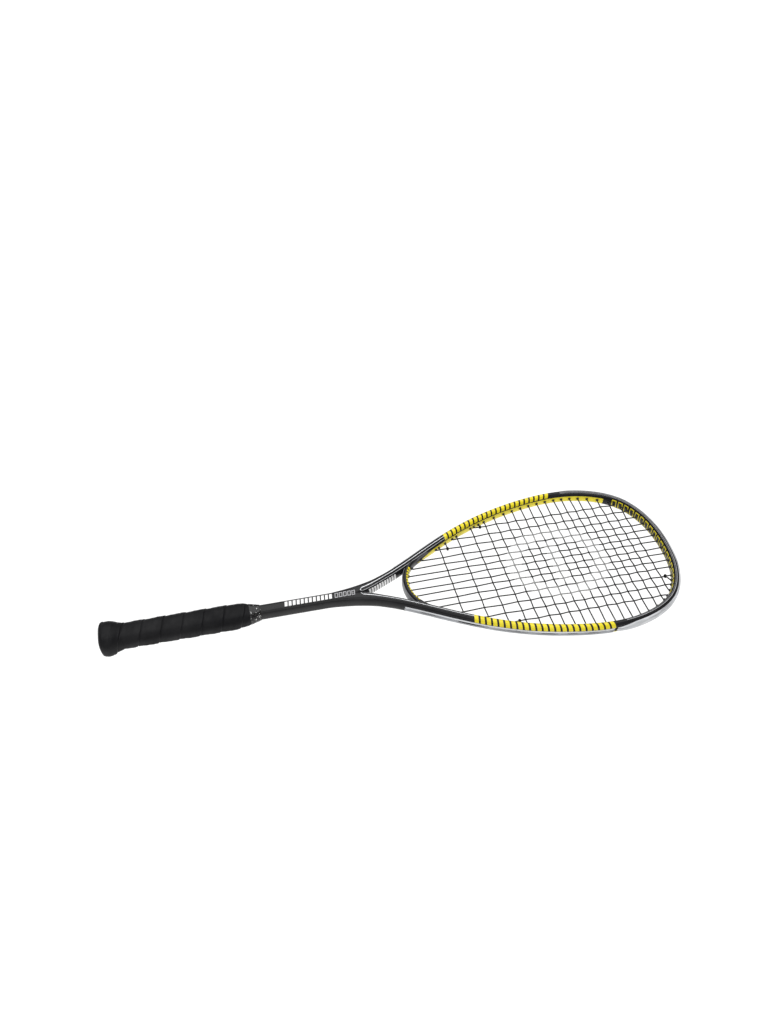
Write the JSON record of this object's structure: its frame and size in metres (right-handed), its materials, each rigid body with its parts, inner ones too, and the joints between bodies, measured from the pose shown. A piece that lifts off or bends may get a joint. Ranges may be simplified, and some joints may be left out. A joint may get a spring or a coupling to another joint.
{
  "type": "squash racket",
  "caption": "Squash racket: open hoop on a slim shaft with a throat bridge, woven string bed, grommet strips, head bumper and a taped flared handle.",
  "frame": {"origin": "centre of the butt's flat end face, on the racket's axis", "axes": "+X along the handle to the tip of the head, +Y across the head, +Z square to the string bed, which lies at z = 0"},
  "size_m": [0.686, 0.2114, 0.0346],
  "materials": {
    "frame_lacquer": "black satin lacquer over moulded graphite, with yellow and silver graphics",
    "pallet_foam": "moulded rigid foam",
    "cap_plastic": "black moulded nylon",
    "staple_steel": "bright steel wire",
    "grip_tape": "black cushion tape wound in a spiral, slightly tacky",
    "finishing_tape": "glossy black self-adhesive tape with pale flecks",
    "grommet_plastic": "silver-grey moulded nylon",
    "bumper_plastic": "pale grey moulded nylon",
    "string": "black multifilament string, lightly glossed"
  },
  "bodies": {
    "root": {"frame": "frame_lacquer", "throat_bridge": "frame_lacquer", "handle_pallet": "pallet_foam", "butt_cap": "cap_plastic", "butt_cap_staples": "staple_steel", "grip_tape": "grip_tape", "finishing_tape": "finishing_tape", "side_grommet_strip_left": "grommet_plastic", "side_grommet_strip_right": "grommet_plastic", "throat_grommet_strip": "grommet_plastic", "head_bumper": "bumper_plastic", "main_string": "string", "cross_string": "string", "main_string_knots": "string", "cross_string_knots": "string"}
  },
  "joints": []
}
